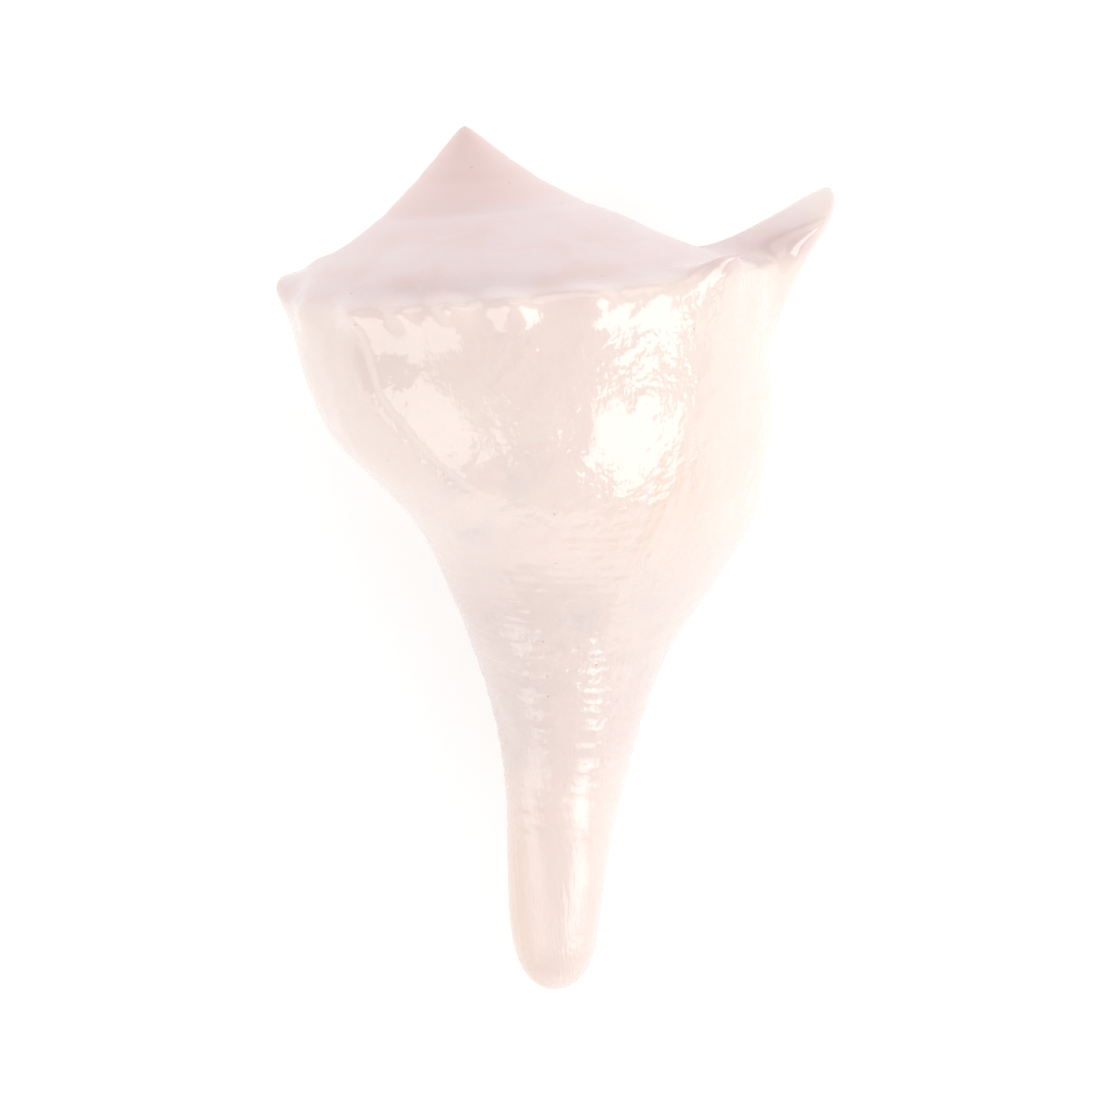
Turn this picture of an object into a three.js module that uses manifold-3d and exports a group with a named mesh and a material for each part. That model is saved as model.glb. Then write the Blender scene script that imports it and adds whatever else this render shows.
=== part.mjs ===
// Left-handed whelk shell, polished, lying on its aperture. Millimetres, +Z up.
//
// The shell is one grown piece. It is modelled the way it grew: a lip outline that widens as it turns
// round the coiling axis, less the spiral cavity that the animal lived in. The coiling axis runs along Y
// in the shell's own frame, with the apex at the origin and the siphonal canal towards -Y. Three
// coordinates describe a point there:
//   bearing  angle round the axis, 0 over the back (+Z), 90 on the lip side (+X), 180 at the underside
//   drop     distance below the apex along the axis
//   radius   distance from the axis
// A growth angle counts degrees of coiling up to the lip: 0 at the lip, -360 one whorl earlier.

import * as THREE from "three";
import { mergeVertices } from "three/addons/utils/BufferGeometryUtils.js";
import Module from "manifold-3d";

// Driving dimensions.
const SHELL_LENGTH = 160; // apex to the end of the canal
const LIP_BEARING = 114; // where the outer lip ends at the shoulder
const WHORL_GROWTH = 2.33; // how much the outline widens in one whorl
const WALL = 2.2;
const SHORT_OF_LIP = 5; // degrees before the lip where the wall starts thinning to its edge
const LIP_EDGE = 0.9; // wall thickness at the lip's edge

// Spire: a concave cone with a shallow spiral seam, leaning slightly towards the lip side.
const SPIRE_DEPTH = 26.6; // drop that the ramp levels out at
const SPIRE_FLARE = 26.2; // radius scale of that levelling
const APEX_ROUNDING = 0.75;
const RAMP_DROOP = 3.8; // how much lower the outer part of the ramp hangs
const DROOP_FROM = 27; // radius where the droop begins on a wide whorl
const DROOP_TO = 47;
const DROOP_SHARE = 0.8; // share of the shoulder's radius where it begins on a narrow one
const SPIRE_LEAN = 0.0018; // rise per radius squared on the lip side
const LEAN_FROM = 20; // radius where the lean starts to die away
const LEAN_TO = 32;
const SUTURE_RADIUS = 21.2; // seam radius at the lip
const SUTURE_GROWTH = 1.65; // seam growth in one whorl
const WHORL_BULGE = 0.25; // how far a whorl stands proud between seams
const SEAM_DEPTH = 0.14;
const SEAM_WIDTH = 0.7;

// Side of the body whorl at the lip, from the shoulder down: [drop, radius]. It scales with growth.
const FLANK = [
  [29, 57.9],
  [37, 55.9],
  [49, 54.3],
  [61, 54.1],
  [72.5, 51.7],
  [82.5, 47.5],
  [92, 40.1],
  [102, 31.3],
  [114, 24.6],
  [127.5, 19.6],
  [143, 14.1],
  [157, 8.1],
  [172.5, 0],
];

// Siphonal canal: an off-centre tube round the axis: [drop, centre offset towards the lip side, half width].
const CANAL = [
  [60, 0, 3.4],
  [90, 0, 8.1],
  [110, 2.2, 8.2],
  [122, 2.2, 7.8],
  [135, 2.4, 9.1],
  [148, 0.8, 8.2],
  [160, 0.1, 5.9],
];

// How far the growing edge leads or trails its shoulder, in degrees: [drop, lead].
const LIP_LEAD = [
  [18, 0],
  [24, -5],
  [30, 0],
  [60, 6],
  [90, 7],
  [140, 24],
  [160, 26],
];
const CANAL_END = 9; // length over which the tip rounds off
const JOIN_SOFTNESS = 4.4; // how softly the body runs into the canal

// Shoulder knobs: [growth angle, height, half width along the shoulder, reach up and down it, how far below
// the shoulder it is centred, rise towards the apex per height, how much steeper its lip side is].
const KNOBS = [
  [-54, 4.2, 5.5, 4.6, 0.5, 0.8, 1.7],
  [-72, 0.9, 5, 4.2, 1.5, 0, 1],
  [-89, 2.4, 4, 3.6, 2, 0.35, 1],
  [-107, 2.6, 3.4, 3.4, 2, 0.35, 1],
  [-121, 2.8, 3.3, 3.4, 2, 0.35, 1],
  [-134, 1.8, 3.4, 3.4, 2, 0.3, 1],
  [-148, 2.4, 4, 3.6, 2, 0.3, 1],
  [-174, 1.4, 5, 4.2, 1.5, 0, 1],
  [-208, 3.3, 11, 5.3, 1.4, 1.1, 1],
  [-228, 2.2, 5, 4.2, 1.5, 0, 1],
  [-252, 2.1, 5, 4.2, 1.5, 0, 1],
  [-276, 2.9, 5, 4.2, 1.5, 0, 1],
  [-303, 1.2, 5, 4.2, 1.5, 0, 1],
  [-330, 1.4, 5, 4.2, 1.5, 0, 1],
];

// The long spine beside the lip: a round cone that runs softly into the shoulder, ridged on its older side.
const SPINE_ANGLE = -10.3; // growth angle
const SPINE_LENGTH = 15.2; // out from the shoulder's edge
const SPINE_SLOPE = 3.5; // how much it rises per distance towards its middle
const SPINE_RIDGE = 0.42; // how much more gently it rises on the older side
const SPINE_SLANT = 0.3; // how far its middle sinks away from the apex per distance on the older side
const SPINE_TIP_RADIUS = 1.31;
const SPINE_LIFT = 37.7; // degrees above the shoulder's own plane
const SPINE_SHIFT = 1.72; // how far its middle stands towards the apex
const SPINE_SOFTNESS = 7.3;

// Rounding of the shoulder's edge.
const FLARE_LENGTH = 4; // distance below the shoulder over which the side flares out to meet the ramp
const EDGE_WIDTH = 3.1; // how fast the rounding dies away from the edge
const BACK_ROUNDING = 0.45; // how much rounder the edge is over the back
const BACK_FROM = -205; // growth angles between which it gets rounder
const BACK_FULL = -180;
const BACK_ENDS = -72; // growth angles between which it gets sharper again
const BACK_OVER = -58;

// Cavity.
const CAVITY_START = -425; // growth angle where the modelled cavity ends inside the spire
const CAVITY_STEP = 12; // degrees between its cross-sections
const CAVITY_DROP = 112; // how far down it reaches where the canal's channel begins
const CAVITY_SHRINK = 1.15; // how much faster than the outside it shortens going back
const CHANNEL_START = -120; // growth angles between which the channel deepens to the canal's end
const CHANNEL_FULL = -50;
const CHANNEL_OPENING = 70; // degrees that the canal's slot spans past the lip
const CHANNEL_FLARE = 4; // how far the slot's far side climbs off the column
const COLUMELLA_RADIUS = 4.2;
const COLUMELLA_BLEND = 6;
const GLAZE = 0.5; // enamel laid over the earlier whorl
const GLAZE_THINS = -20; // growth angle where it starts to run out
const SHOULDER_CHAMFER = 2; // bevel of the cavity's upper outer corner
const RAMP_WALL = 2.53; // wall measured straight down through the ramp
const CANAL_WALL = 0.8; // extra wall round the canal
const CANAL_WALL_FROM = 90; // drops between which it builds up
const CANAL_WALL_TO = 130;
const OVERSHOOT = 6; // how far the hollowing tool runs past the canal's end
const CLEARANCE = 14; // how far it stands outside the shell beyond the lip
const NARROWEST = 0.8; // least width of its cross-section
const CORNER_STEP = 0.5; // distance over which the slopes at the shoulder are taken

// Rest pose, in degrees.
const REST_ROLL = -4.401; // turn about the coiling axis
const REST_PITCH = 10.094; // turn about the side-to-side axis
const WEAR = 0.3; // how deep the contacts are worn flat

const radians = THREE.MathUtils.degToRad;
const smooth = THREE.MathUtils.smoothstep;
const lerp = THREE.MathUtils.lerp;

/** A smooth curve through [x, y, ...] rows, read at x: row values as an array. */
function curveThrough(rows) {
  return (x) => {
    const last = rows.length - 1;
    let i = rows.findIndex((row) => row[0] > x) - 1;
    if (i < 0) i = x <= rows[0][0] ? 0 : last - 1;
    const [a, b] = [rows[i], rows[i + 1]];
    const t = THREE.MathUtils.clamp((x - a[0]) / (b[0] - a[0]), 0, 1);
    return a.slice(1).map((value, k) => {
      const slopeAt = (j) => {
        const [p, q] = [rows[Math.max(j - 1, 0)], rows[Math.min(j + 1, last)]];
        return (q[k + 1] - p[k + 1]) / (q[0] - p[0]);
      };
      const width = b[0] - a[0];
      const [t2, t3] = [t * t, t * t * t];
      return (
        (2 * t3 - 3 * t2 + 1) * value +
        (t3 - 2 * t2 + t) * width * slopeAt(i) +
        (3 * t2 - 2 * t3) * b[k + 1] +
        (t3 - t2) * width * slopeAt(i + 1)
      );
    });
  };
}

const flankOutline = curveThrough(FLANK);
const canalOutline = curveThrough(CANAL);
const lipLead = curveThrough(LIP_LEAD);

const growth = (angle) => WHORL_GROWTH ** (angle / 360);
const bearingOf = (angle, drop) => LIP_BEARING + angle + lipLead(drop)[0];
const shoulderRadius = (angle) => FLANK[0][1] * growth(angle);

/** The larger of two lengths, rounded where they cross. */
function softMax(a, b, softness) {
  const near = Math.max(softness - Math.abs(a - b), 0) / softness;
  return Math.max(a, b) + (near * near * softness) / 4;
}

/** Drop of the ramp between the apex and the shoulder. */
function rampDrop(angle, radius) {
  const share = radius / shoulderRadius(angle);
  const droop = 1 - (1 - smooth(radius, DROOP_FROM, DROOP_TO)) * (1 - smooth(share, DROOP_SHARE, 1));
  const depth = SPIRE_DEPTH * Math.tanh(radius / SPIRE_FLARE) + RAMP_DROOP * droop;
  const lipSide = Math.sin(radians(LIP_BEARING + angle));
  const lean = SPIRE_LEAN * radius * radius * (1 - smooth(radius, LEAN_FROM, LEAN_TO)) * lipSide;
  const cone = Math.hypot(depth, APEX_ROUNDING) - APEX_ROUNDING - lean;
  if (radius < APEX_ROUNDING) return cone;
  const seam = SUTURE_RADIUS * SUTURE_GROWTH ** (angle / 360);
  const turns = Math.log(radius / seam) / Math.log(SUTURE_GROWTH);
  const part = turns - Math.floor(Math.min(turns, 0));
  const size = Math.min(radius / SUTURE_RADIUS, 1);
  const bulge = part < 1 ? WHORL_BULGE * size * Math.sin(Math.PI * part) : 0;
  const whole = Math.min(Math.round(turns), 0);
  const offset = (radius - seam * SUTURE_GROWTH ** whole) / (SEAM_WIDTH * size);
  return cone - bulge + SEAM_DEPTH * size * Math.exp(-offset * offset);
}

/** Radius of the body whorl's side at a drop, before the canal is added. */
function flankRadius(angle, drop) {
  const scale = growth(angle);
  const reach = drop / scale;
  return reach >= FLANK.at(-1)[0] ? 0 : scale * flankOutline(reach)[0];
}

/** Radius of the canal tube round the axis. */
function canalRadius(bearing, drop) {
  const [offset, width] = canalOutline(drop);
  const turn = radians(bearing);
  return offset * Math.sin(turn) + Math.sqrt(width * width - (offset * Math.cos(turn)) ** 2);
}

/** How much of its width the shell keeps as it rounds off at the canal's end. */
function endTaper(drop) {
  const part = THREE.MathUtils.clamp((drop - SHELL_LENGTH + CANAL_END) / CANAL_END, 0, 1);
  return Math.sqrt(1 - part ** 3);
}

/** Radius of the shell's side below the shoulder, before its edge runs out to the ramp. */
function sideRadius(angle, drop) {
  const canal = canalRadius(bearingOf(angle, drop), drop);
  return endTaper(drop) * softMax(flankRadius(angle, drop), canal, JOIN_SOFTNESS);
}

/** Radius of the shell's outside below the shoulder, flared out to meet the ramp. */
function outsideRadius(angle, drop) {
  const crest = shoulderRadius(angle);
  const top = rampDrop(angle, crest);
  const gap = crest - flankRadius(angle, top);
  return sideRadius(angle, drop) + gap * Math.exp(-Math.max(drop - top, 0) / FLARE_LENGTH);
}

/** Directions of the ramp and of the side where they meet, in radians down from straight outwards. */
function shoulderCorner(angle) {
  const crest = shoulderRadius(angle);
  const top = rampDrop(angle, crest);
  const ramp = Math.atan2(top - rampDrop(angle, crest - CORNER_STEP), CORNER_STEP);
  const side = Math.atan2(CORNER_STEP, outsideRadius(angle, top + CORNER_STEP) - crest);
  return [ramp, side];
}

/** How far and which way the rounding of the shoulder's edge moves a point that is `away` from it. */
function edgeRounding(angle, away) {
  const back = smooth(angle, BACK_FROM, BACK_FULL) * (1 - smooth(angle, BACK_ENDS, BACK_OVER));
  const width = EDGE_WIDTH * (1 + BACK_ROUNDING * back);
  const [ramp, side] = shoulderCorner(angle);
  const cut = width * Math.sin((side - ramp) / 2) * Math.exp(-away / width);
  return [-cut * Math.sin((side + ramp) / 2), -cut * Math.cos((side + ramp) / 2)];
}

/** How far the spine moves a point: `across` is along the shoulder, `out` and `up` are from its edge. */
function spinePush(across, out, up) {
  const lift = radians(SPINE_LIFT);
  const height = out * Math.cos(lift) + up * Math.sin(lift);
  const beside = across < 0 ? across * SPINE_RIDGE : across;
  const middle = SPINE_SHIFT - SPINE_SLANT * Math.max(-across, 0);
  const aside = Math.hypot(beside, up * Math.cos(lift) - out * Math.sin(lift) - middle);
  const spread = Math.hypot(aside, SPINE_TIP_RADIUS) - SPINE_TIP_RADIUS;
  const rise = softMax(height, SPINE_LENGTH - SPINE_SLOPE * spread, SPINE_SOFTNESS) - height;
  return [rise * Math.cos(lift), rise * Math.sin(lift)];
}

/** How far the knobs, the edge's rounding and the spine push a point out, and how far up. */
function ornament(angle, radius, drop) {
  const crest = shoulderRadius(angle);
  const below = drop - rampDrop(angle, crest);
  let [out, up] = edgeRounding(angle, Math.hypot(radius - crest, below));
  KNOBS.forEach(([knobAngle, height, width, reach, centre, rise, steepness]) => {
    const ahead = radians(angle - knobAngle) * crest;
    const across = ahead > 0 ? ahead * steepness : ahead;
    const away = Math.hypot(radius - crest, below - centre);
    const knob = height * Math.exp(-((across / width) ** 2) - (away / reach) ** 2);
    out += knob;
    up += knob * rise;
  });
  const fade = smooth(radius, 0, SUTURE_RADIUS);
  out *= fade;
  up *= fade;
  const across = radians(angle - SPINE_ANGLE) * crest;
  const [spineOut, spineUp] = spinePush(across, radius + out - crest, up - below);
  return [out + spineOut, up + spineUp];
}

/** Shell-frame position of a point on the coil. */
function place(angle, radius, drop) {
  const turn = radians(bearingOf(angle, drop));
  return new THREE.Vector3(radius * Math.sin(turn), -drop, radius * Math.cos(turn));
}

// Rows and columns of the outside mesh.
const COLUMN_STEPS = [
  [-360, 6],
  [-150, 5],
  [-65, 3],
  [-20, 1.25],
]; // [growth angle, step from there on]
const RAMP_CROWDING = 1.5; // how much closer the rows are by the shoulder
const SIDE_CROWDING = 1.4;
const SPIRE_ROWS = 7;
const RAMP_ROWS = 9;
const SIDE_ROWS = 20;
const END_ROWS = 5;

/** The outside outline at a growth angle, apex to canal tip, as [radius, drop] pairs. */
function outsideOutline(angle) {
  const points = [];
  for (let j = 0; j <= SPIRE_ROWS; j++) {
    const radius = (SUTURE_RADIUS * j) / SPIRE_ROWS;
    points.push([radius, rampDrop(angle, radius)]);
  }
  const crest = shoulderRadius(angle);
  for (let j = 1; j <= RAMP_ROWS; j++) {
    const radius = lerp(SUTURE_RADIUS, crest, 1 - (1 - j / RAMP_ROWS) ** RAMP_CROWDING);
    points.push([radius, rampDrop(angle, radius)]);
  }
  const top = rampDrop(angle, crest);
  for (let j = 1; j <= SIDE_ROWS; j++) {
    const drop = lerp(top, SHELL_LENGTH - CANAL_END, (j / SIDE_ROWS) ** SIDE_CROWDING);
    points.push([outsideRadius(angle, drop), drop]);
  }
  for (let j = 1; j <= END_ROWS; j++) {
    const drop = SHELL_LENGTH - CANAL_END * (1 - Math.sin((Math.PI / 2) * (j / END_ROWS)));
    points.push([j === END_ROWS ? 0 : sideRadius(angle, drop), drop]);
  }
  return points.map(([radius, drop]) => {
    const [out, up] = ornament(angle, radius, drop);
    return [radius + out, drop - up];
  });
}

/** Growth angles of the outside mesh's columns, closer together towards the lip. */
function columnAngles() {
  const angles = [];
  COLUMN_STEPS.forEach(([from, step], i) => {
    const to = i + 1 < COLUMN_STEPS.length ? COLUMN_STEPS[i + 1][0] : 0;
    for (let angle = from; angle < to; angle += step) angles.push(angle);
  });
  return [...angles, 0];
}

/** Triangles between neighbouring rings of equal size; `closed` joins the last ring to the first. */
function wallTriangles(ringCount, size, closed) {
  const triangles = [];
  for (let i = 0; i < (closed ? ringCount : ringCount - 1); i++) {
    const next = (i + 1) % ringCount;
    for (let j = 0; j < (closed ? size - 1 : size); j++) {
      const k = (j + 1) % size;
      const [a, b, c, d] = [i * size + j, next * size + j, next * size + k, i * size + k];
      triangles.push(a, c, b, a, d, c);
    }
  }
  return triangles;
}

/** A three.js geometry from points and triangles. */
function geometryOf(points, triangles) {
  const geometry = new THREE.BufferGeometry();
  geometry.setAttribute("position", new THREE.Float32BufferAttribute(points.flatMap((p) => p.toArray()), 3));
  geometry.setIndex(triangles);
  return geometry;
}

/** The outside of the shell as a closed surface, with a flat step where the lip ends. */
function outsideGeometry() {
  const columns = columnAngles().map((angle) =>
    outsideOutline(angle).map(([radius, drop]) => place(angle, radius, drop)),
  );
  return geometryOf(columns.flat(), wallTriangles(columns.length, columns[0].length, true));
}

const wasm = await Module();
wasm.setup();

const MERGE_DISTANCE = 1e-3;

/** A manifold-3d solid from a closed geometry. */
function solidOf(geometry) {
  const bare = geometry.clone();
  bare.deleteAttribute("normal");
  bare.deleteAttribute("uv");
  const merged = mergeVertices(bare, MERGE_DISTANCE);
  const index = merged.index.array;
  const triVerts = [];
  for (let i = 0; i < index.length; i += 3) {
    const [a, b, c] = [index[i], index[i + 1], index[i + 2]];
    if (a !== b && b !== c && a !== c) triVerts.push(a, b, c);
  }
  const vertProperties = merged.attributes.position.array;
  const mesh = new wasm.Mesh({ numProp: 3, vertProperties, triVerts: new Uint32Array(triVerts) });
  return new wasm.Manifold(mesh);
}

// Growth angles of the hollowing tool's last cross-sections: up to the lip, into the open, round the slot.
const LIP_SECTIONS = [-5, -2.5, 0.5];
const OPEN_SECTIONS = [0.8, 6, 12, 20, 30, 40, 50, 60, CHANNEL_OPENING];
const SLOT_START = 10;
const CAVITY_TOP_ROWS = 6;
const CAVITY_SIDE_ROWS = 12;
const TOP_LIFT_ROWS = 2; // rows over which the open end's top stands clear of the ramp

const isOpen = (angle) => angle >= OPEN_SECTIONS[0];

/** How far down the cavity reaches at a growth angle. */
function cavityBottom(angle) {
  const end = SHELL_LENGTH + OVERSHOOT;
  if (angle > CHANNEL_START) return lerp(CAVITY_DROP, end, smooth(angle, CHANNEL_START, CHANNEL_FULL));
  return CAVITY_DROP * growth(angle - CHANNEL_START) ** CAVITY_SHRINK;
}

/** Radius of the cavity's inner side: the earlier whorl, the columella and the slot's far side. */
function innerRadius(angle, drop) {
  const pillar = COLUMELLA_RADIUS * growth(Math.min(angle, 0) / 2);
  const glaze = GLAZE * (1 - smooth(angle, GLAZE_THINS, 0));
  const climb = smooth(angle, SLOT_START, CHANNEL_OPENING);
  const column = softMax(flankRadius(angle - 360, drop), pillar, COLUMELLA_BLEND);
  const inner = column + glaze + CHANNEL_FLARE * climb;
  const clear = Math.max(inner, canalRadius(bearingOf(angle, drop), drop) + WALL);
  return lerp(inner, clear, climb);
}

/** Radius of the cavity's outer side. */
function outerRadius(angle, drop) {
  if (isOpen(angle)) return sideRadius(0, drop) + CLEARANCE;
  const wall = lerp(LIP_EDGE, WALL, smooth(-angle, 0, SHORT_OF_LIP));
  const extra = CANAL_WALL * smooth(drop, CANAL_WALL_FROM, CANAL_WALL_TO);
  return sideRadius(Math.min(angle, 0), drop) - wall - extra;
}

/** The cavity's cross-section at a growth angle: [radius, drop] pairs round a closed ring. */
function cavityRing(angle) {
  const grownAngle = Math.min(angle, 0);
  const spread = isOpen(angle) ? CLEARANCE : 0;
  const start = shoulderRadius(angle - 360) + GLAZE;
  const crest = shoulderRadius(grownAngle) - WALL + spread;
  const bottom = cavityBottom(angle);
  const points = [];
  for (let j = 0; j < CAVITY_TOP_ROWS; j++) {
    const radius = lerp(start, crest - SHOULDER_CHAMFER, j / CAVITY_TOP_ROWS);
    points.push([radius, rampDrop(grownAngle, radius) + RAMP_WALL - spread * smooth(j, 0, TOP_LIFT_ROWS)]);
  }
  const top = rampDrop(grownAngle, crest) + RAMP_WALL - spread + SHOULDER_CHAMFER;
  for (let j = 0; j <= CAVITY_SIDE_ROWS; j++) {
    const drop = lerp(top, bottom, j / CAVITY_SIDE_ROWS);
    points.push([Math.max(outerRadius(angle, drop), innerRadius(angle, drop) + NARROWEST), drop]);
  }
  const innerTop = rampDrop(grownAngle, start) + RAMP_WALL;
  for (let j = CAVITY_SIDE_ROWS; j > 0; j--) {
    const drop = lerp(innerTop, bottom, j / CAVITY_SIDE_ROWS);
    points.push([innerRadius(angle, drop), drop]);
  }
  return points;
}

/** The tool that hollows the shell: the cavity, carried on past the lip into the open. */
function cavityGeometry() {
  const angles = [];
  for (let angle = CAVITY_START; angle < LIP_SECTIONS[0]; angle += CAVITY_STEP) angles.push(angle);
  angles.push(...LIP_SECTIONS, ...OPEN_SECTIONS);
  const rings = angles.map((angle) => cavityRing(angle));
  const size = rings[0].length;
  const triangles = wallTriangles(rings.length, size, false);
  const cap = (ring) => {
    const outline = ring.map(([radius, drop]) => new THREE.Vector2(radius, drop));
    return THREE.ShapeUtils.triangulateShape(outline, []);
  };
  const last = (rings.length - 1) * size;
  cap(rings[0]).forEach(([a, b, c]) => triangles.push(a, c, b));
  cap(rings.at(-1)).forEach(([a, b, c]) => triangles.push(last + a, last + b, last + c));
  return geometryOf(
    rings.flatMap((ring, i) => ring.map(([radius, drop]) => place(angles[i], radius, drop))),
    triangles,
  );
}

/** A geometry that three.js can draw, from a manifold-3d solid. */
function geometryFrom(solid) {
  const mesh = solid.getMesh();
  const geometry = new THREE.BufferGeometry();
  geometry.setAttribute("position", new THREE.BufferAttribute(new Float32Array(mesh.vertProperties), 3));
  geometry.setIndex(new THREE.BufferAttribute(mesh.triVerts, 1));
  return geometry;
}

/** The largest body of a cut solid, without the crumbs that a grazing cut leaves. */
function largestOf(solid) {
  return solid.decompose().reduce((best, body) => (body.volume() > best.volume() ? body : best));
}

const grown = largestOf(solidOf(outsideGeometry()).subtract(solidOf(cavityGeometry())));

// Laid down on its lip, canal edge and one knob, then worn flat where it touches.
const restGeometry = geometryFrom(grown);
restGeometry.rotateY(radians(REST_ROLL));
restGeometry.rotateX(radians(REST_PITCH));
restGeometry.computeBoundingBox();
const bounds = restGeometry.boundingBox;
const middle = bounds.getCenter(new THREE.Vector3());
restGeometry.translate(-middle.x, -middle.y, -bounds.min.z - WEAR);
const table = new THREE.BoxGeometry(2 * SHELL_LENGTH, 2 * SHELL_LENGTH, SHELL_LENGTH);
table.translate(0, 0, -SHELL_LENGTH / 2);
const rested = geometryFrom(largestOf(solidOf(restGeometry).subtract(solidOf(table))));

const nacre = new THREE.MeshStandardMaterial({ color: 0xf5e4dd, roughness: 0.18, metalness: 0 });
const shell = new THREE.Mesh(rested, nacre);
shell.name = "shell";

const whelk = new THREE.Group();
whelk.add(shell);
export default whelk;
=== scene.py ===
"""A polished left-handed whelk shell on a white table, lit softly from both sides and from above.

The shell is drawn the way it grew. In its own frame the coiling axis runs along Y, with the apex at
the origin and the canal towards -Y. A point there has a bearing round the axis (0 over the back, 90 on
the lip side), a drop below the apex and a radius. A growth angle counts degrees of coiling up to the
lip: 0 at the lip, -360 a whorl ago. Lengths are in millimetres until the mesh is made.
"""

from __future__ import annotations

import logging
import math
from collections.abc import Callable, Iterator, Sequence
from contextlib import contextmanager
from dataclasses import dataclass, field
from enum import Enum
from typing import TypeAlias

import bmesh
import bpy
import numpy as np
from mathutils import Matrix, Vector

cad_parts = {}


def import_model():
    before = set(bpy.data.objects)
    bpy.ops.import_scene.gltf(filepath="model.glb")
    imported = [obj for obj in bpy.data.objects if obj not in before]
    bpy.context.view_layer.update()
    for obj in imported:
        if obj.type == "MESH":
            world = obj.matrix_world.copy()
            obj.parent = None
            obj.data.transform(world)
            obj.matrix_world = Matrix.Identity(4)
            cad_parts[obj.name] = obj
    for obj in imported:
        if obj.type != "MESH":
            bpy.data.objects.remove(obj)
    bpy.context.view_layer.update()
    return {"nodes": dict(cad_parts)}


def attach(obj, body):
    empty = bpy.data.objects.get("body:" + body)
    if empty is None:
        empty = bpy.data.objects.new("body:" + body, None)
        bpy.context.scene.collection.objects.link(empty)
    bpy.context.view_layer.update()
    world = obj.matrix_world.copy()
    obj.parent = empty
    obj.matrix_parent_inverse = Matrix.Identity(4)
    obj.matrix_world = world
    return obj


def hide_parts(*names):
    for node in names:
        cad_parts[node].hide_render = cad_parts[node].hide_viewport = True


LOG = logging.getLogger("whelk")
MM = 0.001
Array: TypeAlias = np.ndarray
Rows: TypeAlias = tuple[tuple[float, ...], ...]
Span: TypeAlias = tuple[float, float]
Window: TypeAlias = tuple[float, float, float, float]
Colour: TypeAlias = tuple[float, float, float]
Grain: TypeAlias = tuple[float, float, float]
Value: TypeAlias = "Signal | float"


class Body(Enum):
    """Rigid bodies of the frame."""

    ROOT = "root"


class Slot(Enum):
    """Material slots of the record."""

    SHELL = "shell"


class Face(Enum):
    """Which side of the shell wall a mesh face belongs to."""

    OUTSIDE = 0
    HOLLOW = 1


def smooth(x: Array, low: float, high: float) -> Array:
    """Smooth step from 0 at low to 1 at high.

    Args:
        x: Values to map.
        low: Value that gives 0.
        high: Value that gives 1; it may be below low.

    Returns:
        The mapped values.
    """
    t = np.clip((x - low) / (high - low), 0.0, 1.0)
    return t * t * (3.0 - 2.0 * t)


def window(x: Array, edges: Window) -> Array:
    """Rises smoothly from 0 to 1 between the first two edges and falls back between the last two.

    Args:
        x: Values to map.
        edges: The four edges, in rising order.

    Returns:
        The mapped values.
    """
    return smooth(x, *edges[:2]) * (1 - smooth(x, *edges[2:]))


def soft_max(a: Array, b: Array, softness: float) -> Array:
    """The larger of two lengths, rounded where they cross.

    Args:
        a: First length.
        b: Second length.
        softness: Width of the rounding.

    Returns:
        The blended larger length.
    """
    near = np.maximum(softness - np.abs(a - b), 0.0) / softness
    return np.maximum(a, b) + near * near * softness / 4.0


@dataclass(frozen=True)
class Curve:
    """A smooth curve through rows of (x, value), flat beyond its ends."""

    rows: Rows

    def __call__(self, x: Array) -> Array:
        """Reads the curve.

        Args:
            x: Where to read it.

        Returns:
            The values there.
        """
        knots = np.array(self.rows, float)
        xs, ys = knots[:, 0], knots[:, 1]
        slopes = np.empty(len(xs))
        slopes[1:-1] = (ys[2:] - ys[:-2]) / (xs[2:] - xs[:-2])
        slopes[0] = (ys[1] - ys[0]) / (xs[1] - xs[0])
        slopes[-1] = (ys[-1] - ys[-2]) / (xs[-1] - xs[-2])
        x = np.clip(np.asarray(x, float), xs[0], xs[-1])
        i = np.clip(np.searchsorted(xs, x, side="right") - 1, 0, len(xs) - 2)
        width = xs[i + 1] - xs[i]
        t = (x - xs[i]) / width
        t2, t3 = t * t, t * t * t
        return (
            (2 * t3 - 3 * t2 + 1) * ys[i]
            + (t3 - 2 * t2 + t) * width * slopes[i]
            + (3 * t2 - 2 * t3) * ys[i + 1]
            + (t3 - t2) * width * slopes[i + 1]
        )


@dataclass(frozen=True)
class SmoothNoise:
    """Seeded value noise in space, between -1 and 1."""

    seed: int
    wavelength: float
    cells: int = 64

    def __call__(self, points: Array) -> Array:
        """Reads the noise.

        Args:
            points: Positions, shaped (..., 3).

        Returns:
            One value per position.
        """
        table = np.random.default_rng(self.seed).uniform(-1.0, 1.0, (self.cells,) * 3)
        scaled = points / self.wavelength
        base = np.floor(scaled).astype(int)
        part = scaled - base
        part = part * part * (3.0 - 2.0 * part)
        total = np.zeros(points.shape[:-1])
        for corner in np.ndindex(2, 2, 2):
            index = (base + corner) % self.cells
            weight = np.prod(np.where(np.array(corner) == 1, part, 1.0 - part), axis=-1)
            total += weight * table[index[..., 0], index[..., 1], index[..., 2]]
        return total


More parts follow.
